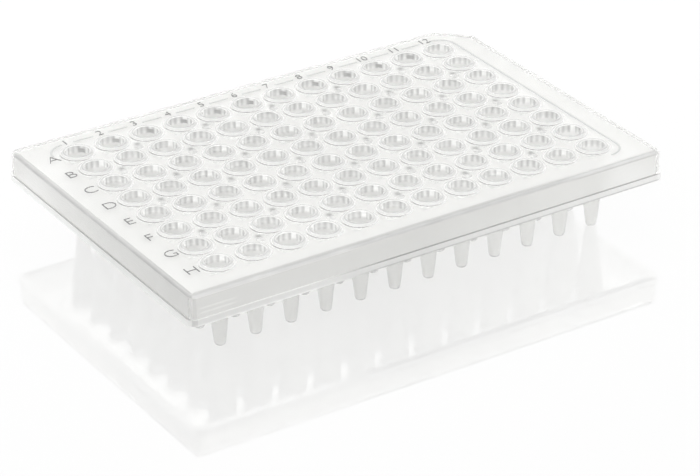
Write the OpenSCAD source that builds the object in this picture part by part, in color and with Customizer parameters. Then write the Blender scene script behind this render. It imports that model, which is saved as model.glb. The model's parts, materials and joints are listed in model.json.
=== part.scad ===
// 96-well PCR plate, semi-skirted, with a cut corner beside well A12.
// One clear moulding: a flat deck with 8 x 12 conical tubes below it, a raised rim round each
// mouth and a short skirt that ends in a narrow lip. The plate stands on the tips of its tubes.
// The origin is on the floor under the middle of the well grid. Columns 1 to 12 run along +X
// and row A lies towards +Y. All sizes are in millimetres.

/* [Well grid] */
// Number of lettered rows, A being the first
rows = 8; // [2:1:8]
// Number of numbered columns
columns = 12; // [2:1:12]
// Distance from one well centre to the next
pitch = 9; // [8.6:0.1:9.2]

/* [Deck] */
// Length of the plate where the deck turns down into the skirt
plate_l = 123.6; // [121:0.1:126]
// Width of the plate there
plate_w = 83; // [81:0.1:85]
// Height of the deck's top face above the tips of the tubes
deck_top = 20; // [19:0.1:22]
// Thickness of the deck
deck_t = 1; // [0.7:0.1:1.4]
// Radius of the edge between the deck and the skirt
edge_r = 0.8; // [0.3:0.1:1.2]
// Radius of the upright corners
corner_r = 1.6; // [1:0.1:3]
// Length that the cut corner beside A12 takes from each side
key_cut = 7.2; // [4:0.1:9]

/* [Skirt] */
// Height of the skirt from the deck's top face down to its foot
skirt_h = 7.3; // [5:0.1:12]
// Thickness of the skirt's wall
skirt_t = 1.1; // [0.8:0.1:1.5]
// How far the skirt leans out from its head to its foot
skirt_lean = 0.15; // [0.05:0.05:0.6]
// Height of the lip along the skirt's foot
lip_h = 1.6; // [0.8:0.1:2.5]
// How far the lip stands out from the wall
lip_out = 0.3; // [0.2:0.1:1]
// Broken edge of the lip
lip_edge = 0.12; // [0.05:0.01:0.18]

/* [Tubes] */
// Diameter of the bore at the mouth of a well
bore_d = 5.5; // [5:0.1:5.6]
// How far the straight mouth of a bore reaches below the deck
mouth_below = 0.2; // [0.1:0.05:0.5]
// Draft of the bore on each side, from the straight mouth down to the neck
bore_draft = 0.06; // [0.02:0.01:0.1]
// Wall of the upper, straight part of a tube
tube_wall = 0.35; // [0.3:0.05:0.5]
// Height above the tip at which the tube starts to narrow
neck_z = 13.9; // [12:0.1:16]
// Height above the tip at which the taper eases
waist_z = 6.6; // [5:0.1:8]
// Outer diameter at that height
waist_d = 3.95; // [3.6:0.05:4.2]
// Outer diameter just above the rounded tip
tip_d = 2.7; // [2.4:0.05:3]
// Height of the rounded tip
tip_h = 1; // [0.8:0.1:1.2]
// Diameter of the small flat under the tip
tip_flat_d = 1.2; // [0.8:0.1:1.6]
// Wall of the thin, conical part of a tube
cone_wall = 0.35; // [0.3:0.05:0.5]

/* [Mouth rims] */
// Height of the rim above the deck
rim_h = 0.5; // [0.3:0.05:0.8]
// Outer diameter of the rim where it leaves the deck
rim_d = 7.5; // [7.2:0.1:7.8]
// How much narrower the rim is at its top, on each side
rim_lean = 0.12; // [0.05:0.01:0.2]
// Broken inner and outer edge of the rim's top
rim_edge = 0.16; // [0.05:0.01:0.2]

/* [Deck details] */
// Diameter of the ejector bosses under the deck
boss_d = 2.3; // [1.6:0.1:2.8]
// Length of the ejector bosses below the deck
boss_h = 3.4; // [1:0.1:4]
// Width of the raised line that frames the wells
frame_w = 0.5; // [0.3:0.05:0.8]
// Height of that line above the deck
frame_h = 0.1; // [0.05:0.01:0.2]
// Distance from the outer well centres to the line, beyond columns 1 and 12
frame_x = 5.6; // [5:0.1:6]
// Distance from row A's centres to the line behind it
frame_back = 5.6; // [5:0.1:6]
// Radius of the line's corners
frame_r = 4.4; // [3:0.1:5]
// Gap in the line behind each column, where the column's number stands
label_gap = 4; // [3:0.1:6]

/* [Hidden] */
$fn = 48;
grid_l = (columns - 1) * pitch;
grid_w = (rows - 1) * pitch;
deck_under = deck_top - deck_t;
foot_z = deck_top - skirt_h;
head_z = deck_top - edge_r;
rim_top = deck_top + rim_h;
tube_d = bore_d + 2 * tube_wall;
corner_steps = 4;      // facets round each upright corner
edge_steps = 4;        // facets round the deck's outer edge
tip_steps = 3;         // facets round a tube's tip
sunk = 0.3;            // how far a raised detail is rooted in the deck

function well_at(row, column) =
    [column * pitch - grid_l / 2, grid_w / 2 - row * pitch];

// ---- plan of the plate -------------------------------------------------------------------

// The plate's outline moved in by "inset", as corners without their rounding.
function outline(inset) =
    let (x = plate_l / 2 - inset, y = plate_w / 2 - inset,
         cut = key_cut - inset * (2 - sqrt(2)))
    [[-x, -y], [x, -y], [x, y - cut], [x - cut, y], [-x, y]];

// Points of an arc that rounds the corner p between its neighbours a and b.
function rounded_corner(a, p, b, r) =
    let (u = (a - p) / norm(a - p), v = (b - p) / norm(b - p),
         half = acos(u * v) / 2,
         centre = p + (u + v) / norm(u + v) * r / sin(half),
         turn = 180 - 2 * half,
         start = atan2(-u[0], u[1]) + 180)
    [for (i = [0:corner_steps]) let (t = start + turn * i / corner_steps)
        centre + r * [cos(t), sin(t)]];

function rounded_outline(inset) =
    let (p = outline(inset), n = len(p), r = max(corner_r - inset, 0.3))
    [for (i = [0:n - 1]) each rounded_corner(p[(i + n - 1) % n], p[i], p[(i + 1) % n], r)];

// A closed solid through outlines stacked at the given [height, inset] steps.
module stacked(steps) {
    rings = [for (s = steps) [for (q = rounded_outline(s[1])) [q[0], q[1], s[0]]]];
    n = len(rings[0]);
    last = len(rings) - 1;
    polyhedron(
        points = [for (ring = rings) each ring],
        faces = concat(
            [[for (i = [0:n - 1]) i]],
            [for (k = [0:last - 1], i = [0:n - 1])
                [k * n + i, (k + 1) * n + i, (k + 1) * n + (i + 1) % n, k * n + (i + 1) % n]],
            [[for (i = [n - 1:-1:0]) last * n + i]]));
}

// ---- deck and skirt ----------------------------------------------------------------------

module shell() {
    lip = -(skirt_lean + lip_out);
    difference() {
        stacked(concat(
            [[foot_z, lip + lip_edge],
             [foot_z + lip_edge, lip],
             [foot_z + lip_h - lip_edge, lip],
             [foot_z + lip_h, lip + lip_edge],
             [foot_z + lip_h, -skirt_lean]],
            [for (i = [0:edge_steps]) let (a = 90 * i / edge_steps)
                [head_z + edge_r * sin(a), edge_r * (1 - cos(a))]]));
        stacked([[foot_z - 1, skirt_t - skirt_lean],
                 [foot_z, skirt_t - skirt_lean],
                 [deck_under, skirt_t]]);
    }
}

// ---- tubes -------------------------------------------------------------------------------

// Radius and height along a quarter round from the flat under the tip out to the cone.
function tip_curve(r_flat, r_cone, z0, h) =
    [for (i = [0:tip_steps]) let (a = 90 * i / tip_steps)
        [r_flat + (r_cone - r_flat) * sin(a), z0 + h * (1 - cos(a))]];

module tube_body() {
    top_r = rim_d / 2 - rim_lean;
    rotate_extrude()
        polygon(concat(
            [[0, 0]],
            tip_curve(tip_flat_d / 2, tip_d / 2, 0, tip_h),
            [[waist_d / 2, waist_z],
             [tube_d / 2, neck_z],
             [tube_d / 2, deck_top - sunk],
             [rim_d / 2, deck_top - sunk],
             [rim_d / 2, deck_top],
             [top_r, rim_top - rim_edge],
             [top_r - rim_edge, rim_top],
             [0, rim_top]]));
}

module tube_bore() {
    bore_r = bore_d / 2;
    flat_r = tip_flat_d / 2 - cone_wall / 2;
    rotate_extrude()
        polygon(concat(
            [[0, cone_wall]],
            tip_curve(flat_r, tip_d / 2 - cone_wall, cone_wall, tip_h - cone_wall / 2),
            [[waist_d / 2 - cone_wall, waist_z],
             [bore_r - bore_draft, neck_z],
             [bore_r, deck_under - mouth_below],
             [bore_r, rim_top - rim_edge],
             [bore_r + rim_edge, rim_top],
             [bore_r + rim_edge, rim_top + 1],
             [0, rim_top + 1]]));
}

// ---- small details of the deck -----------------------------------------------------------

// Ejector bosses hang below the deck at every second crossing between four wells.
module bosses() {
    for (row = [0:rows - 2], column = [0:columns - 2])
        if ((row + column) % 2 == 1)
            translate(well_at(row + 0.5, column + 0.5))
                translate([0, 0, deck_under - boss_h])
                    cylinder(d = boss_d, h = boss_h + sunk);
}

// A quarter of the raised line's round, centred on a corner well's side of the grid.
module frame_corner(x, y, turn) {
    translate([x, y, deck_top - sunk])
        rotate(turn)
            rotate_extrude(angle = 90)
                translate([frame_r - frame_w / 2, 0])
                    square([frame_w, frame_h + sunk]);
}

module frame_run(x, y, length, width) {
    translate([x - length / 2, y - width / 2, deck_top - sunk])
        cube([length, width, frame_h + sunk]);
}

// The raised line runs beside column 12 and, in dashes, behind row A.
module frame_line() {
    side_x = grid_l / 2 + frame_x;
    back_y = grid_w / 2 + frame_back;
    frame_corner(side_x - frame_r, back_y - frame_r, 0);
    frame_corner(frame_r - side_x, back_y - frame_r, 90);
    frame_corner(side_x - frame_r, frame_r - back_y, -90);
    frame_run(side_x, 0, frame_w, 2 * (back_y - frame_r));
    for (column = [0:columns - 2])
        frame_run(well_at(0, column + 0.5)[0], back_y, pitch - label_gap, frame_w);
}

module well_plate() {
    color("aliceblue", 0.6)
    difference() {
        union() {
            shell();
            bosses();
            frame_line();
            for (row = [0:rows - 1], column = [0:columns - 1])
                translate(well_at(row, column)) tube_body();
        }
        for (row = [0:rows - 1], column = [0:columns - 1])
            translate(well_at(row, column)) tube_bore();
    }
}

well_plate();
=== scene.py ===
import json
import math

import bmesh
import bpy
from mathutils import Matrix, Vector


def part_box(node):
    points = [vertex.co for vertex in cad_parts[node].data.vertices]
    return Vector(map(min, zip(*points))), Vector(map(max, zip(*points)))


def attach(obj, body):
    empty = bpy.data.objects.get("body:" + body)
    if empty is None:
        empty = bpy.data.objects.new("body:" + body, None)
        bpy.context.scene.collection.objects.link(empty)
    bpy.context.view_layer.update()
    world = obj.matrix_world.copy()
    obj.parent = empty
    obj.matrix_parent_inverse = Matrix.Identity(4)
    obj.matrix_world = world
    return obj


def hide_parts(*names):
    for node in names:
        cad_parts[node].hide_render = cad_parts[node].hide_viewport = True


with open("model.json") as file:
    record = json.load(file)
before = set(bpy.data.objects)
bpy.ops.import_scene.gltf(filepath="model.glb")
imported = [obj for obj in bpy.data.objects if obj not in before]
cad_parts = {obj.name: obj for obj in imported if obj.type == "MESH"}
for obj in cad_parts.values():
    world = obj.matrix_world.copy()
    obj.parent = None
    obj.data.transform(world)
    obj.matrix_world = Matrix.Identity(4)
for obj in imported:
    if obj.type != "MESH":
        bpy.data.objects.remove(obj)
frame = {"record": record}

scene = bpy.context.scene
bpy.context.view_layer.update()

# ---- Camera ------------------------------------------------------------------------------
# A long lens looks down at the plate from in front of row H, a little to the left of
# column 1, and is tipped by less than a degree.
mm = 0.001
turn, height, tip = math.radians(-32.013), math.radians(28.131), math.radians(-0.888)
looks_at = Vector((-10.088, -22.018, 10.0)) * mm
distance = 713.2
back = Vector((math.sin(turn) * math.cos(height), -math.cos(turn) * math.cos(height),
               math.sin(height)))
level = Vector((math.cos(turn), math.sin(turn), 0))
upward = back.cross(level)
right = level * math.cos(tip) + upward * math.sin(tip)
up = upward * math.cos(tip) - level * math.sin(tip)
lens = bpy.data.cameras.new("camera")
lens.lens = 164.744
lens.sensor_width = 36
lens.clip_start, lens.clip_end = 0.01, 40
camera = bpy.data.objects.new("camera", lens)
camera.matrix_world = (Matrix.Translation(looks_at + back * distance * mm)
                       @ Matrix((right, up, back)).transposed().to_4x4())
scene.collection.objects.link(camera)
scene.camera = camera
scene.view_settings.view_transform = "Standard"
scene.cycles.transparent_max_bounces = 64      # light crosses many thin walls under the deck


# ---- Table -------------------------------------------------------------------------------
# The plate stands on a polished white table that runs out of sight. The table shows the
# plate's soft shadow and its mirror image.
def as_mesh(name, bm):
    mesh = bpy.data.meshes.new(name)
    bm.to_mesh(mesh)
    bm.free()
    return mesh


def add_object(name, bm):
    obj = bpy.data.objects.new(name, as_mesh(name, bm))
    scene.collection.objects.link(obj)
    return obj


def new_material(name):
    material = bpy.data.materials.new(name)
    material.use_nodes = True
    material.node_tree.nodes.clear()
    return material, material.node_tree


def add_node(tree, kind, inputs=(), **settings):
    """A new node with its settings. Its inputs take numbers, colours or other nodes' outputs."""
    node = tree.nodes.new(kind)
    for name, value in settings.items():
        setattr(node, name, value)
    for key, value in dict(inputs).items():
        if isinstance(value, bpy.types.NodeSocket):
            tree.links.new(value, node.inputs[key])
        else:
            node.inputs[key].default_value = value
    return node


def maths(tree, operation, *values, clamp=False):
    """The output of a Math node on numbers and outputs."""
    node = add_node(tree, "ShaderNodeMath", dict(enumerate(values)),
                    operation=operation, use_clamp=clamp)
    return node.outputs[0]


def seen_rays(tree):
    """1 for what the camera sees straight, in a mirror or through clear plastic, 0 for light."""
    path = tree.nodes.new("ShaderNodeLightPath").outputs
    straight_or_mirror = maths(tree, "ADD", path["Is Camera Ray"], path["Is Glossy Ray"])
    return maths(tree, "ADD", straight_or_mirror, path["Is Transmission Ray"], clamp=True)


table = bmesh.new()
bmesh.ops.create_circle(table, cap_ends=True, segments=64, radius=12)
bmesh.ops.translate(table, verts=table.verts, vec=(0, 0, -0.01 * mm))    # clear of the tubes
floor = add_object("table", table)
lacquer, tree = new_material("white_lacquer")
white = add_node(tree, "ShaderNodeMix",
                 {"Factor": seen_rays(tree), "A": (0.86, 0.86, 0.86, 1),
                  "B": (0.869, 0.869, 0.869, 1)}, data_type="RGBA")
paint = add_node(tree, "ShaderNodeBsdfDiffuse", {"Color": white.outputs["Result"]})
polish = add_node(tree, "ShaderNodeBsdfGlossy", {"Roughness": 0.03, "Color": (1, 1, 1, 1)})
polished = add_node(tree, "ShaderNodeMixShader",
                    {"Fac": 0.42, 1: paint.outputs[0], 2: polish.outputs[0]})
add_node(tree, "ShaderNodeOutputMaterial", {"Surface": polished.outputs[0]})
floor.data.materials.append(lacquer)

# ---- Light -------------------------------------------------------------------------------
# A white tent lights the plate from all round, darker low down, with one large soft lamp
# overhead. What the camera sees of the tent is plain white.
tent = bpy.data.worlds.new("tent")
scene.world = tent
tent.use_nodes = True
tree = tent.node_tree
tree.nodes.clear()
direction = tree.nodes.new("ShaderNodeTexCoord").outputs["Generated"]
towards = add_node(tree, "ShaderNodeSeparateXYZ", {0: direction})
brightness = add_node(tree, "ShaderNodeMapRange",
                      {"Value": towards.outputs["Z"], "From Min": 0.0, "From Max": 0.55,
                       "To Min": 0.6, "To Max": 1.0})
cloth = add_node(tree, "ShaderNodeBackground", {"Color": brightness.outputs["Result"]})
plain_white = add_node(tree, "ShaderNodeBackground", {"Color": (1, 1, 1, 1)})
shown = add_node(tree, "ShaderNodeMixShader",
                 {"Fac": seen_rays(tree), 1: cloth.outputs[0], 2: plain_white.outputs[0]})
add_node(tree, "ShaderNodeOutputWorld", {"Surface": shown.outputs[0]})

lamp = bpy.data.lights.new("overhead", "AREA")
lamp.shape = "RECTANGLE"
lamp.size, lamp.size_y = 1.0, 0.8
lamp.energy = 2.5
overhead = bpy.data.objects.new("overhead", lamp)
overhead.location = (0.1, 0.35, 0.9)
aim = Vector((0, 0, 0.02)) - overhead.location
overhead.rotation_euler = aim.to_track_quat("-Z", "Y").to_euler()
scene.collection.objects.link(overhead)

# ---- Plate -------------------------------------------------------------------------------
# A single moulding in clear polypropylene: a thin deck with 96 conical tubes under it, a
# rounded rim at the mouth of each, and a short skirt that ends in a lip. Ejector bosses hang
# below the deck between the wells.
mounts = {m["name"]: Vector(m["pos_m"]) for m in frame["record"]["mounts"]}
rows, columns = 8, 12
pitch = (mounts["well_A12"].x - mounts["well_A1"].x) / (columns - 1)
half_tile = pitch / 2
rim_h, deck_t = 0.5, 1.0               # these and the sizes below are in millimetres
deck_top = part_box("well_plate")[1].z - rim_h * mm
deck_under = deck_top - deck_t * mm
foot_z = mounts["skirt_foot"].z
half_length, half_width = 61.8, 41.5   # of the deck, to where it turns down into the skirt
corner_cut, corner_r = 7.2, 1.6        # the cut corner beside A12, and the round of the others
edge_r, edge_facets = 0.8, 10          # the round between the deck and the skirt
brink = 0.12                           # the flat strip inside that round
wall_h, wall_lean = 4.9, 0.15          # the skirt's wall above the lip, and how far it leans out
ledge = 0.3                            # the top of the lip
lip_out, lip_h = 0.45, 1.6             # the lip's reach past the deck's outline, and its height
boss_r, boss_h, boss_edge = 1.15, 3.4, 0.15
facets = 32                            # round each tube
SKIN, UNDERSIDE, TUBES, WELLS, EDGES, BOSSES, RIMS = range(7)      # the moulding's finishes


def well_at(row, column):
    return Vector((mounts["well_A1"].x + column * pitch, mounts["well_A1"].y - row * pitch, 0))


def of_kind(kind, geometry):
    """Only the vertices, or only the faces, of what an operator gives back."""
    return [piece for piece in geometry if isinstance(piece, kind)]


def at_height(place, z):
    return abs(place.z - z) < 0.001 * mm


def turned(bm, profile, finish):
    """Spins a half section of (radius, height) points, in millimetres, round a well's middle."""
    known = set(bm.faces)
    points = [bm.verts.new((r * mm, 0, z * mm)) for r, z in profile]
    lines = [bm.edges.new(pair) for pair in zip(points, points[1:])]
    bmesh.ops.spin(bm, geom=points + lines, cent=(0, 0, 0), axis=(0, 0, 1), dvec=(0, 0, 0),
                   angle=2 * math.pi, steps=facets, use_merge=True, use_duplicate=False)
    bmesh.ops.remove_doubles(bm, verts=bm.verts, dist=0.0005 * mm)
    for f in set(bm.faces) - known:
        f.material_index = finish


def rounded(centre, radius, start, stop, steps):
    """Points of an arc in the half section, with its angles in degrees."""
    out = []
    for i in range(steps + 1):
        a = math.radians(start + (stop - start) * i / steps)
        out.append((centre[0] + radius[0] * math.cos(a), centre[1] + radius[1] * math.sin(a)))
    return out


def joined(bm, mesh):
    """Adds a copy of the mesh to bm and gives back its vertices there."""
    known = len(bm.verts)
    bm.from_mesh(mesh)
    bm.verts.ensure_lookup_table()
    return bm.verts[known:]


def smooth(obj):
    """Shades an object smooth and keeps its edges of more than 40 degrees sharp."""
    obj.data.shade_smooth()
    obj.data.set_sharp_from_angle(angle=math.radians(40))


# One tube with the square of deck round it. The bore runs from its bottom up to the mouth and
# over the rim down to the deck, and the tube's outside from the tip up to the deck's underside.
tile = bmesh.new()
tip_inside = rounded((0.425, 1.175), (0.575, 0.825), -90, 0, 2)
tapers_inside = [(1.625, 6.6), (2.66, 13.7), (2.7, 14.1), (2.75, 18.8), (2.75, 20.28)]
rim = (rounded((2.97, 20.28), (0.22, 0.22), 180, 90, 2)[1:]
       + rounded((3.4, 20.25), (0.25, 0.25), 90, 10, 2)
       + rounded((3.92, 20.2), (0.2, 0.2), 190, 270, 2) + [(4.3, 20)])
turned(tile, [(0, 0.35)] + tip_inside + tapers_inside + rim, WELLS)
dull_from, dull_to = 3.45 * mm, 3.85 * mm
for f in tile.faces:
    middle = f.calc_center_median()
    if dull_from < middle.xy.length < dull_to and middle.z > deck_top:
        f.material_index = RIMS
tip_outside = rounded((0.6, 1), (0.75, 1), -90, 0, 3)
tapers_outside = [(1.975, 6.6), (3.06, 13.65), (3.1, 14.0)]
collar = rounded((3.3, 18.8), (0.2, 0.2), 180, 90, 2)
turned(tile, [(0, 0)] + tip_outside + tapers_outside + collar, TUBES)
rings = [e for e in tile.edges if e.is_boundary]
grown = bmesh.ops.extrude_edge_only(tile, edges=rings)["geom"]
for v in of_kind(bmesh.types.BMVert, grown):
    v.co.xy *= half_tile / max(abs(v.co.x), abs(v.co.y))
for f in of_kind(bmesh.types.BMFace, grown):
    f.material_index = SKIN if f.calc_center_median().z > deck_top - 0.1 * mm else UNDERSIDE
tile_mesh = as_mesh("tile", tile)

plate = bmesh.new()
for row in range(rows):
    for column in range(columns):
        bmesh.ops.translate(plate, verts=joined(plate, tile_mesh), vec=well_at(row, column))
bpy.data.meshes.remove(tile_mesh)
bmesh.ops.remove_doubles(plate, verts=[v for v in plate.verts if v.is_boundary],
                         dist=0.002 * mm)

# The ejector bosses hang at every second crossing between four wells.
crossings = [well_at(row + 0.5, column + 0.5) for row in range(rows - 1)
             for column in range(columns - 1) if (row + column) % 2]
under = [v for v in plate.verts if at_height(v.co, deck_under)]
boss_at = [min(under, key=lambda v: (v.co.xy - c.xy).length) for c in crossings]
flats = bmesh.ops.bevel(plate, geom=boss_at, offset=boss_r * mm, offset_type="OFFSET",
                        affect="VERTICES", segments=1, profile=0.5, material=-1)["faces"]
bmesh.ops.subdivide_edges(plate, edges=list({e for f in flats for e in f.edges}), cuts=1)
flats = [f for f in plate.faces
         if len(f.verts) == 16 and at_height(f.calc_center_median(), deck_under)]
for f in flats:
    middle = f.calc_center_median()
    for v in f.verts:
        v.co = middle + (v.co - middle).normalized() * boss_r * mm
pulled = bmesh.ops.extrude_discrete_faces(plate, faces=flats)["faces"]
bmesh.ops.translate(plate, verts=list({v for f in pulled for v in f.verts}),
                    vec=(0, 0, -boss_h * mm))
bmesh.ops.bevel(plate, geom=list({e for f in pulled for e in f.edges}), offset=boss_edge * mm,
                offset_type="OFFSET", affect="EDGES", segments=2, profile=0.5, material=-1)
for f in plate.faces:
    middle = f.calc_center_median()
    if middle.z > deck_under - 0.01 * mm:
        continue
    if min((middle.xy - c.xy).length for c in crossings) < (boss_r + 0.05) * mm:
        f.material_index = BOSSES


# The skirt and the deck's edge
def outline_face(bm, z, grow):
    """The plate's outline, wider by "grow" than the deck's own, as one face at height z."""
    x, y = half_length + grow, half_width + grow
    cut = corner_cut + grow * (2 - math.sqrt(2))
    radius = corner_r + grow
    corners = [(-x, -y), (x, -y), (x, y - cut), (x - cut, y), (-x, y)]
    points = [bm.verts.new((px * mm, py * mm, z)) for px, py in corners]
    bm.faces.new(points)
    for group, tangent in ((points[2:4], radius * math.tan(math.pi / 8)),
                           (points[:2] + points[4:], radius)):
        bmesh.ops.bevel(bm, geom=group, offset=tangent * mm, offset_type="OFFSET",
                        affect="VERTICES", segments=8, profile=0.5, material=-1)
    return max((f for f in bm.faces if at_height(f.calc_center_median(), z)),
               key=lambda f: f.calc_area())


def drawn_up(bm, face, steps):
    """Draws a face inwards and up by (inward, rise) steps, in millimetres."""
    for inward, rise in steps:
        bmesh.ops.inset_region(bm, faces=[face], use_boundary=True, use_even_offset=True,
                               thickness=inward * mm, depth=rise * mm)


shell = bmesh.new()
lip = outline_face(shell, foot_z + lip_h * mm, lip_out)
angles = [math.radians(90 * i / edge_facets) for i in range(edge_facets + 1)]
edge_round = [(edge_r * (math.cos(a) - math.cos(b)), edge_r * (math.sin(b) - math.sin(a)))
              for a, b in zip(angles, angles[1:])]
drawn_up(shell, lip, [(ledge, 0), (wall_lean, wall_h)] + edge_round + [(brink, 0)])
shell.faces.remove(lip)
foot = outline_face(shell, foot_z, lip_out)
drawn_up(shell, foot, [(1.4, 0)])
foot.material_index = UNDERSIDE
drawn_up(shell, foot, [(wall_lean, 6.1), (0.2, 0.2)])      # the skirt's inside and its root
shell.faces.remove(foot)
lip_sides = [e for e in shell.edges if e.is_boundary and e.verts[0].co.z < deck_under - mm]
bmesh.ops.bridge_loops(shell, edges=lip_sides)
far_x, far_y = 60.5 * mm, 40.2 * mm    # past these, the deck's edge stays as clear as the skin
for f in shell.faces:
    x, y, z = f.calc_center_median()
    on_lip = z < foot_z + (lip_h + 0.01) * mm
    on_round = z > deck_top - edge_r * mm and x < far_x and y < far_y
    if f.material_index == SKIN and (on_lip or on_round):
        f.material_index = EDGES
shell_mesh = as_mesh("shell", shell)
plate.from_mesh(shell_mesh)
bpy.data.meshes.remove(shell_mesh)
for z, finish in ((deck_top, SKIN), (deck_under, UNDERSIDE)):
    open_edges = [e for e in plate.edges
                  if e.is_boundary and all(at_height(v.co, z) for v in e.verts)]
    made = bmesh.ops.triangle_fill(plate, use_beauty=True, use_dissolve=False, edges=open_edges)
    for f in of_kind(bmesh.types.BMFace, made["geom"]):
        f.material_index = finish
bmesh.ops.recalc_face_normals(plate, faces=plate.faces)
moulding = add_object("plate_moulding", plate)
smooth(moulding)


def grey_ramp(tree, value, span, stops):
    """A grey that follows (value, tone) stops. The span is divided into 256 fine steps."""
    low, high = span
    scale = add_node(tree, "ShaderNodeMapRange",
                     {"From Min": low, "From Max": high, "Value": value})
    node = tree.nodes.new("ShaderNodeValToRGB")
    ramp = node.color_ramp
    while len(ramp.elements) < len(stops):
        ramp.elements.new(0.5)
    for element, (at, tone) in zip(ramp.elements, stops):
        element.position = (at - low) / (high - low)
        element.color = (tone, tone, tone, 1)
    tree.links.new(scale.outputs["Result"], node.inputs["Fac"])
    return node.outputs["Color"]


def blend(tree, factor, first, second):
    """The first value where the factor is 0, and the second where it is 1."""
    node = add_node(tree, "ShaderNodeMix", {"Factor": factor, "A": first, "B": second})
    return node.outputs["Result"]


def product(tree, first, *others):
    for other in others:
        first = maths(tree, "MULTIPLY", first, other)
    return first


def shaded(tree, tone, mask, amount):
    """The tone with an amount added to it where the mask is 1."""
    return maths(tree, "MULTIPLY_ADD", mask, amount, tone)


def new_group(name, *outputs):
    """A node group that reads a place on the plate and puts out numbers. Its x, y and z are
    that place in millimetres."""
    group = bpy.data.node_groups.new(name, "ShaderNodeTree")
    group.interface.new_socket("Place", in_out="INPUT", socket_type="NodeSocketVector")
    for output in outputs:
        group.interface.new_socket(output, in_out="OUTPUT", socket_type="NodeSocketFloat")
    place = group.nodes.new("NodeGroupInput").outputs["Place"]
    axes = add_node(group, "ShaderNodeSeparateXYZ", {0: place})
    x, y, z = [maths(group, "MULTIPLY", axes.outputs[axis], 1 / mm) for axis in "XYZ"]
    return group, place, x, y, z


def clouds(tree, place, waves, detail):
    """Soft noise on a place, with its own number of waves per metre along each axis."""
    spread = add_node(tree, "ShaderNodeVectorMath", {0: place, 1: waves}, operation="MULTIPLY")
    noise = add_node(tree, "ShaderNodeTexNoise",
                     {"Scale": 1, "Detail": detail, "Vector": spread.outputs[0]})
    return noise.outputs["Fac"]


well_a1 = 100                          # well A1's number both ways, so that none is negative


def grid_steps(tree, x, y, half):
    """The nearest well, or with half a step the nearest crossing of four wells: its numbers
    across the plate and up it, and the way to it in steps of the grid."""
    numbers, ways = [], []
    for value, first in ((x, mounts["well_A1"].x), (y, mounts["well_A1"].y)):
        steps = maths(tree, "MULTIPLY_ADD", value, mm / pitch, well_a1 + half - first / pitch)
        numbers.append(maths(tree, "ROUND", steps))
        ways.append(maths(tree, "SUBTRACT", steps, numbers[-1]))
    return numbers, ways


def length_mm(tree, ways, offset=(0, 0)):
    """The distance in millimetres to a point that lies "offset" away from the nearest one."""
    sides = [maths(tree, "MULTIPLY_ADD", way, pitch / mm, -shift)
             for way, shift in zip(ways, offset)]
    squares = [product(tree, side, side) for side in sides]
    return maths(tree, "SQRT", maths(tree, "ADD", *squares))


# Spans for the ramps, in millimetres: all along the plate, all across it, from the skirt's foot
# to above the rims, and the first few millimetres inside an edge.
lengthwise, crosswise, upright, strip = (-62.4, 62.4), (-42.4, 42.4), (12, 21), (0, 3)

# Moulded plastic is a little uneven: its tone clouds slightly at random, and its dull faces have a
# fine grain. The group also puts out painted shade that greys the walls and tubes towards the
# front left corner, away from the cut corner.
moulded, place, x, y, z = new_group("moulded_plastic", "Tone", "CornerShade", "Grain")
from_left = maths(moulded, "ADD", x, half_length)
from_front = maths(moulded, "ADD", y, half_width)
# Painted shade, greyer towards the front left corner along the front and the left side
front_corner_shade = grey_ramp(moulded, from_left, (0, 124),
                       [(0, 0.82), (30, 0.87), (59, 0.855), (87, 0.94), (110, 1)])
left_corner_shade = grey_ramp(moulded, from_front, (0, 124),
                      [(0, 0.7), (10, 0.72), (27, 0.81), (50, 0.907), (69, 0.967), (83, 1)])
corner_shade = blend(moulded, maths(moulded, "LESS_THAN", x, -60.5), front_corner_shade, left_corner_shade)
on_deck = grey_ramp(moulded, z, upright, [(19.15, 0), (19.2, 1)])
drift = maths(moulded, "MULTIPLY_ADD", clouds(moulded, place, (70, 70, 70), 1), 0.06, -0.03)
add_node(moulded, "NodeGroupOutput",
         {"Tone": maths(moulded, "ADD", drift, 0.98), "CornerShade": blend(moulded, on_deck, corner_shade, 1),
          "Grain": clouds(moulded, place, (2600, 2600, 2600), 2)})

# The outer skin is painted with light and shade: dark lines of painted shade along the foot of the
# wall, the lip and the deck's edge, two short ribs near the front left corner painted lighter,
# and a dark spot of painted shade over each ejector boss, where a sink mark would be shaded.
lines, place, x, y, z = new_group("skin_light_and_shade", "Tone")
from_left = maths(lines, "ADD", x, half_length)
from_front = maths(lines, "ADD", y, half_width)
on_left = maths(lines, "LESS_THAN", from_left, from_front)
near_corner = product(lines, on_left, grey_ramp(lines, from_front, (0, 84), [(10, 1), (32, 0)]))

# Painted shade up the front, its right end and the left side, from the lip to the round of the
# deck's edge, darkest in lines on the round
on_lip = [(12.72, 0.95), (14.12, 0.95), (14.14, 1), (14.32, 1)]
wall_foot, wall_head = (14.34, 0.93), (19, 0.93)
front = grey_ramp(lines, z, upright, on_lip + [
    wall_foot, wall_head, (19.2, 0.84), (19.5, 0.78), (19.75, 0.72), (19.86, 0.62), (19.97, 0.5)])
left = grey_ramp(lines, z, upright, [
    (12.72, 1), (14.32, 1), wall_foot, wall_head,
    (19.2, 0.8), (19.45, 0.56), (19.6, 0.54), (19.77, 0.58), (19.9, 0.62), (19.98, 0.68)])
double_shade_line = grey_ramp(lines, z, upright, on_lip + [
    wall_foot, (19.05, 0.93), (19.15, 0.6), (19.3, 0.63), (19.5, 0.8), (19.8, 0.8), (19.95, 0.6)])
# Painted shade: the lower round is darker from the middle of the front rightwards, and the right
# end has a double dark line
lower_round = product(
    lines, grey_ramp(lines, x, lengthwise, [(-25, 0), (-8, 1)]),
    grey_ramp(lines, z, (19, 20), [(19.15, 0), (19.3, 1), (19.7, 1), (19.85, 0)]))
right_end = grey_ramp(lines, x, lengthwise, [(34, 0), (40, 1)])
front = blend(lines, right_end, shaded(lines, front, lower_round, -0.13), double_shade_line)
tone = blend(lines, on_left, front, left)
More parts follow.
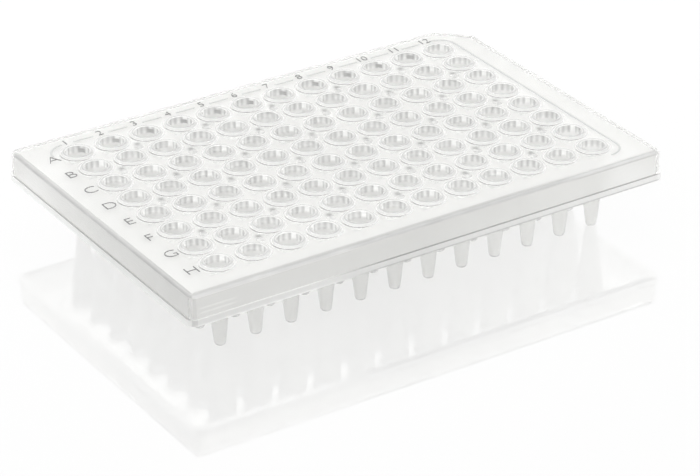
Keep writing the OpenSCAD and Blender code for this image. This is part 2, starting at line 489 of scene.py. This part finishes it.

# The edge is mottled. Near the front left corner the edge has a little more painted shade, and
# the lip a painted highlight.
mottle = maths(lines, "MULTIPLY_ADD", clouds(lines, place, (160, 160, 160), 2), 0.3, 0.85)
on_edge = grey_ramp(lines, z, upright, [(19.2, 0), (19.3, 1)])
tone = product(lines, tone, blend(lines, on_edge, 1, mottle))
tone = shaded(lines, tone, product(lines, on_edge, near_corner), -0.06)
below_ledge = maths(lines, "LESS_THAN", z, 14.32)
tone = shaded(lines, tone, product(lines, below_ledge, near_corner), 0.2)

# The deck's top, with a line of painted shade just inside its front and left edges
on_top = maths(lines, "GREATER_THAN", z, 19.99)
deck = grey_ramp(lines, x, lengthwise, [(-60, 0.93), (-20, 0.915), (60, 0.905)])
front_edge_shade = blend(
    lines, grey_ramp(lines, x, lengthwise, [(20, 0), (45, 1)]),
    grey_ramp(lines, from_front, strip,
              [(0.8, 0.54), (1.15, 0.6), (1.4, 0.77), (1.7, 0.94), (2.0, 1)]),
    grey_ramp(lines, from_front, strip, [(0.8, 0.74), (1.0, 0.88), (1.2, 1)]))
left_edge_shade = blend(
    lines, near_corner,
    grey_ramp(lines, from_left, strip, [(0.8, 0.62), (0.95, 0.73), (1.08, 1)]),
    grey_ramp(lines, from_left, strip, [(0.8, 0.5), (0.97, 0.6), (1.1, 0.85), (1.2, 1)]))
deck = product(lines, deck, blend(lines, on_left, front_edge_shade, left_edge_shade))
tone = blend(lines, on_top, tone, deck)

# Painted shade: the lip's ledge is dark along the left side and the right half of the front,
# where the foot of the lip is dark too, and on the front's left half its foot is painted lighter.
# Two short ribs on the wall, not modelled, are painted lighter, a painted highlight.
along = grey_ramp(lines, x, lengthwise, [(-61.6, 1), (-61.4, 0), (-32, 0), (-12, 1)])
on_ledge = grey_ramp(lines, z, (14, 15), [(14.18, 0), (14.22, 1), (14.34, 1), (14.42, 0)])
tone = shaded(lines, tone, product(lines, on_ledge, along), -0.6)
at_foot = grey_ramp(lines, z, (12, 14), [(12.95, 1), (13.1, 0)])
foot_light_and_shade = blend(lines, on_left, maths(lines, "MULTIPLY_ADD", along, -0.42, 0.12), 0)
tone = shaded(lines, tone, at_foot, foot_light_and_shade)
rib_highlights = grey_ramp(lines, z, (15, 17), [(15.3, 0), (15.4, 1), (15.7, 1), (15.8, 0),
                                      (16.4, 0), (16.5, 1), (16.8, 1), (16.9, 0)])
short = grey_ramp(lines, x, lengthwise, [(-60, 0), (-59.4, 1), (-51.5, 1), (-50.9, 0)])
tone = shaded(lines, tone, product(lines, rib_highlights, short), 0.2)

# No painted lines or shade on the right side and at the back
tone = blend(lines, grey_ramp(lines, x, lengthwise, [(60, 0), (61, 1)]), tone, 1)
tone = blend(lines, grey_ramp(lines, y, crosswise, [(39, 0), (40, 1)]), tone, 1)

# Painted shade over each boss: a dark spot just behind it, for a sink mark's dimple, which is not
# modelled
numbers, ways = grid_steps(lines, x, y, -0.5)
sink_shade = grey_ramp(lines, length_mm(lines, ways, (0, 0.9)), (0, 2),
                 [(0.2, 1), (0.45, 0.85), (0.75, 0.4), (1.3, 0)])
odd = maths(lines, "MODULO", maths(lines, "ADD", *numbers), 2)
over_boss = product(
    lines, maths(lines, "SUBTRACT", 1, odd),
    product(lines, grey_ramp(lines, x, lengthwise, [(-50, 0), (-49.9, 1), (49.9, 1), (50, 0)]),
            grey_ramp(lines, y, crosswise, [(-32, 0), (-31.9, 1), (31.9, 1), (32, 0)])))
tone = shaded(lines, tone, product(lines, sink_shade, over_boss), -0.6)
add_node(lines, "NodeGroupOutput", {"Tone": tone})

# Painted light and shade inside a well's mouth, on the deck's cut edge: light and dark streaks,
# twelve to a turn, for what the clear wall shows through it. They are painted brightest towards a
# crossing without a boss, and row A has a dark patch of painted shade behind. The rim's top is
# painted a dull grey, its outer wall a bright painted highlight, and at the front it stands in a
# thin line of painted shade.
wells, place, x, y, z = new_group("well_light_and_shade", "Tone")
numbers, ways = grid_steps(wells, x, y, 0)
azimuth = maths(wells, "ARCTAN2", ways[1], ways[0])
radius = length_mm(wells, ways)
streaks_to_a_turn = 12
waves = maths(wells, "COSINE", maths(wells, "MULTIPLY_ADD", azimuth, streaks_to_a_turn,
                                     math.radians(48)))
painted_streaks = maths(wells, "MULTIPLY_ADD", waves, -0.13, 0.68)
uneven = maths(wells, "SUBTRACT", clouds(wells, place, (1000, 1000, 60), 1), 0.5)
painted_streaks = shaded(wells, painted_streaks, uneven, 0.4)
odd = maths(wells, "MODULO", maths(wells, "ADD", *numbers), 2)
slant = maths(wells, "SINE", maths(wells, "MULTIPLY_ADD", azimuth, 2, math.radians(16)))
facing = product(wells, slant, maths(wells, "MULTIPLY_ADD", odd, 2, -1))
# Painted highlight, white towards the crossing without a boss
gap_highlight = grey_ramp(wells, facing, (0.8, 1), [(0.88, 0), (0.95, 1)])
painted_streaks = blend(wells, gap_highlight, painted_streaks, 1.0)
behind = maths(wells, "COSINE", maths(wells, "SUBTRACT", azimuth, math.radians(42)))
row_a, column_12 = well_a1, well_a1 + columns - 1
# Painted shade: a dark patch behind row A's wells, but for column 12
dark_patch_shade = product(
    wells, grey_ramp(wells, behind, (0.8, 1), [(0.93, 0), (0.975, 1)]),
    grey_ramp(wells, numbers[1], (row_a - 1, row_a + 1), [(row_a - 0.6, 0), (row_a - 0.4, 1)]),
    grey_ramp(wells, numbers[0], (column_12 - 1, column_12 + 1),
              [(column_12 - 0.6, 1), (column_12 - 0.4, 0)]),
    grey_ramp(wells, z, (18, 21), [(18.7, 0), (19, 1), (19.7, 1), (20, 0)]))
painted_streaks = blend(wells, dark_patch_shade, painted_streaks, 0.34)
# The streaks are painted lighter low in the mouth
deep = grey_ramp(wells, z, (18, 21), [(18.9, 1), (19.5, 0)])
painted_streaks = product(wells, painted_streaks, maths(wells, "MULTIPLY_ADD", deep, 0.3, 1))
in_mouth = grey_ramp(wells, z, (17, 21), [(18.5, 0), (18.95, 1), (20.3, 1), (20.42, 0.3)])
bore_tone = blend(wells, in_mouth, 1.0, painted_streaks)
# The rim: a painted highlight on its outer wall and a line of painted shade round its foot on the
# side towards the front
in_front = maths(wells, "COSINE", maths(wells, "SUBTRACT", azimuth, math.radians(223)))
at_front = grey_ramp(wells, in_front, (0, 1), [(0.4, 0), (0.85, 1)])
far_rim_light_and_shade = grey_ramp(wells, radius, (2.5, 4.5), [
    (3.0, 0.72), (3.5, 0.72), (3.6, 0.9), (3.88, 0.9), (3.95, 0.82), (4.3, 0.85)])
near_rim_light_and_shade = grey_ramp(wells, radius, (2.5, 4.5), [
    (3.0, 0.72), (3.48, 0.72), (3.55, 1), (3.87, 1), (3.94, 0.25), (4.15, 0.25), (4.27, 0.8)])
on_rim = maths(wells, "GREATER_THAN", radius, 2.93)
add_node(wells, "NodeGroupOutput",
         {"Tone": blend(wells, on_rim, bore_tone, blend(wells, at_front, far_rim_light_and_shade, near_rim_light_and_shade))})


def from_group(tree, group, place):
    """The outputs of a node group at a place."""
    return add_node(tree, "ShaderNodeGroup", {"Place": place}, node_tree=group).outputs


def tinted(tree, tone, colour):
    """The colour, darker where the tone is low."""
    tint = add_node(tree, "ShaderNodeMix",
                    {"Factor": tone, "A": (0, 0, 0, 1), "B": (*colour, 1)}, data_type="RGBA")
    return tint.outputs["Result"]


def grained(tree, grain, strength):
    bump = add_node(tree, "ShaderNodeBump",
                    {"Strength": strength, "Distance": 0.05 * mm, "Height": grain})
    return bump.outputs["Normal"]


refraction = 1.49                      # polypropylene's index


def clear_plastic(name, roughness, clearness, depth, painted_tones=None, grain=0, corner_shaded=False):
    """Clear polypropylene with a slight haze. Lamps and the table's light pass straight through
    it. Its tone is "depth", uneven as moulded plastic is, with painted shade towards the front
    left corner where asked, and a group's painted light and shade over it."""
    material, tree = new_material(name)
    place = tree.nodes.new("ShaderNodeTexCoord").outputs["Object"]
    uneven = from_group(tree, moulded, place)
    tone = product(tree, uneven["Tone"], depth)
    # Painted shade, greyer towards the front left corner
    if corner_shaded:
        tone = product(tree, tone, uneven["CornerShade"])
    if painted_tones:
        tone = product(tree, tone, from_group(tree, painted_tones, place)["Tone"])
    surface = add_node(tree, "ShaderNodeBsdfPrincipled",
                       {"Base Color": tinted(tree, tone, (1, 1, 0.985)), "Roughness": roughness,
                        "IOR": refraction, "Transmission Weight": clearness})
    if grain:
        tree.links.new(grained(tree, uneven["Grain"], grain), surface.inputs["Normal"])
    path = tree.nodes.new("ShaderNodeLightPath").outputs
    lit = maths(tree, "ADD", path["Is Shadow Ray"], path["Is Diffuse Ray"], clamp=True)
    straight = add_node(tree, "ShaderNodeBsdfTransparent", {"Color": (0.99, 0.99, 0.99, 1)})
    through = add_node(tree, "ShaderNodeMixShader",
                       {"Fac": lit, 1: surface.outputs[0], 2: straight.outputs[0]})
    add_node(tree, "ShaderNodeOutputMaterial", {"Surface": through.outputs[0]})
    return material


for finish in (clear_plastic("polypropylene_polished", 0.03, 0.9, 1.0, lines, corner_shaded=True),
               clear_plastic("polypropylene_frosted", 0.6, 0.55, 1.0, grain=0.3),
               clear_plastic("polypropylene_tubes", 0.2, 0.75, 0.89, grain=0.1, corner_shaded=True),
               clear_plastic("polypropylene_wells", 0.2, 0.45, 1.0, wells),
               clear_plastic("polypropylene_edges", 0.3, 0.3, 1.0, lines, corner_shaded=True),
               clear_plastic("polypropylene_bosses", 0.6, 0.5, 1.0, grain=0.3),
               clear_plastic("polypropylene_rims", 0.3, 0.15, 1.0, wells)):
    moulding.data.materials.append(finish)
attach(moulding, "root")
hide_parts("well_plate")

# ---- Frame line --------------------------------------------------------------------------
# A low raised line on the deck runs beside column 12, round the corners and, in dashes,
# behind row A. It is part of the same moulding.
line_out, bend, dash = 5.6 * mm, 4.4 * mm, 5 * mm
side_x = mounts["well_A12"].x + line_out
back_y = mounts["well_A1"].y + line_out
line = bmesh.new()


def line_end(bm, middle, out):
    """The line's cross section, a low rounded bar, as a face across the line."""
    section = [(-0.25, -0.1), (-0.22, 0.06), (-0.12, 0.1), (0.12, 0.1), (0.22, 0.06), (0.25, -0.1)]
    verts = [bm.verts.new(middle + out * across * mm + Vector((0, 0, deck_top + up * mm)))
             for across, up in section]
    return bm.faces.new(verts)


def swept(face):
    """A face with its edges and corners, ready to be drawn along a path."""
    return [face] + list(face.edges) + list(face.verts)


for x_sign, y_sign, start, angle in ((1, 1, 0, 90), (-1, 1, 90, 90), (1, -1, 0, -90)):
    centre = Vector((x_sign * (side_x - bend), y_sign * (back_y - bend), 0))
    out = Vector((math.cos(math.radians(start)), math.sin(math.radians(start)), 0))
    end = line_end(line, centre + out * bend, out)
    bmesh.ops.spin(line, geom=swept(end), cent=centre, axis=(0, 0, 1), dvec=(0, 0, 0),
                   angle=math.radians(angle), steps=10, use_merge=False, use_duplicate=False)
runs = [(Vector((side_x, bend - back_y, 0)), Vector((1, 0, 0)),
         Vector((0, 2 * (back_y - bend), 0)))]
for column in range(columns - 1):
    middle = well_at(0, column + 0.5).x
    runs.append((Vector((middle - dash / 2, back_y, 0)), Vector((0, 1, 0)),
                 Vector((dash, 0, 0))))
for start, out, along in runs:
    end = line_end(line, start, out)
    far = bmesh.ops.extrude_face_region(line, geom=swept(end), use_keep_orig=True)["geom"]
    bmesh.ops.translate(line, verts=of_kind(bmesh.types.BMVert, far), vec=along)
bmesh.ops.remove_doubles(line, verts=line.verts, dist=0.001 * mm)
inner_ends = [f for f in line.faces if all(len(e.link_faces) > 2 for e in f.edges)]
bmesh.ops.delete(line, geom=inner_ends, context="FACES_ONLY")
bmesh.ops.recalc_face_normals(line, faces=line.faces)
frame_line = add_object("frame_line", line)
smooth(frame_line)


def solid_plastic(obj, name, colour, roughness):
    """Plastic that hides what is behind it, as uneven and as fine in grain as the moulding."""
    material, tree = new_material(name)
    place = tree.nodes.new("ShaderNodeTexCoord").outputs["Object"]
    uneven = from_group(tree, moulded, place)
    surface = add_node(tree, "ShaderNodeBsdfPrincipled",
                       {"Base Color": tinted(tree, uneven["Tone"], colour),
                        "Roughness": roughness, "IOR": refraction,
                        "Normal": grained(tree, uneven["Grain"], 0.2)})
    add_node(tree, "ShaderNodeOutputMaterial", {"Surface": surface.outputs[0]})
    obj.data.materials.append(material)


solid_plastic(frame_line, "polypropylene_line", (0.66, 0.67, 0.66), 0.3)
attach(frame_line, "root")

# ---- Grid marks --------------------------------------------------------------------------
# Thin raised letters A to H beside column 1 and numbers 1 to 12 behind row A, moulded with
# the deck. They read from the front.
letters_x, numbers_y = -55.8 * mm, 37.7 * mm
raised = 0.05 * mm                     # half of the marks' thickness, and their middle's height
marks = bmesh.new()


def mark(bm, text, middle, size, thicker, wider):
    """Adds one raised mark to the mesh, centred at "middle". Its outline grows by "thicker"
    millimetres, and it becomes "wider" times as wide."""
    curve = bpy.data.curves.new("mark", "FONT")
    curve.body = text
    curve.size = size * mm
    curve.extrude = raised
    curve.offset = thicker * mm
    curve.align_x, curve.align_y = "CENTER", "CENTER"
    maker = bpy.data.objects.new("mark", curve)
    scene.collection.objects.link(maker)
    shape = bpy.data.meshes.new_from_object(
        maker.evaluated_get(bpy.context.evaluated_depsgraph_get()))
    fresh = joined(bm, shape)
    bmesh.ops.scale(bm, verts=fresh, vec=(wider, 1, 1))
    centre = Vector([(min(v.co[i] for v in fresh) + max(v.co[i] for v in fresh)) / 2
                     for i in range(3)])
    bmesh.ops.translate(bm, verts=fresh, vec=middle - centre)
    bpy.data.meshes.remove(shape)
    bpy.data.objects.remove(maker)
    bpy.data.curves.remove(curve)


for row in range(rows):
    at = Vector((letters_x, well_at(row, 0).y, deck_top + raised))
    mark(marks, "ABCDEFGH"[row], at, 4.35, -0.11, 1.12)
for column in range(columns):
    at = Vector((well_at(0, column).x, numbers_y, deck_top + raised))
    mark(marks, str(column + 1), at, 3.2, -0.05, 1)
bmesh.ops.remove_doubles(marks, verts=marks.verts, dist=0.001 * mm)
grid_marks = add_object("grid_marks", marks)
solid_plastic(grid_marks, "mark_grey", (0.2, 0.2, 0.2), 0.5)
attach(grid_marks, "root")
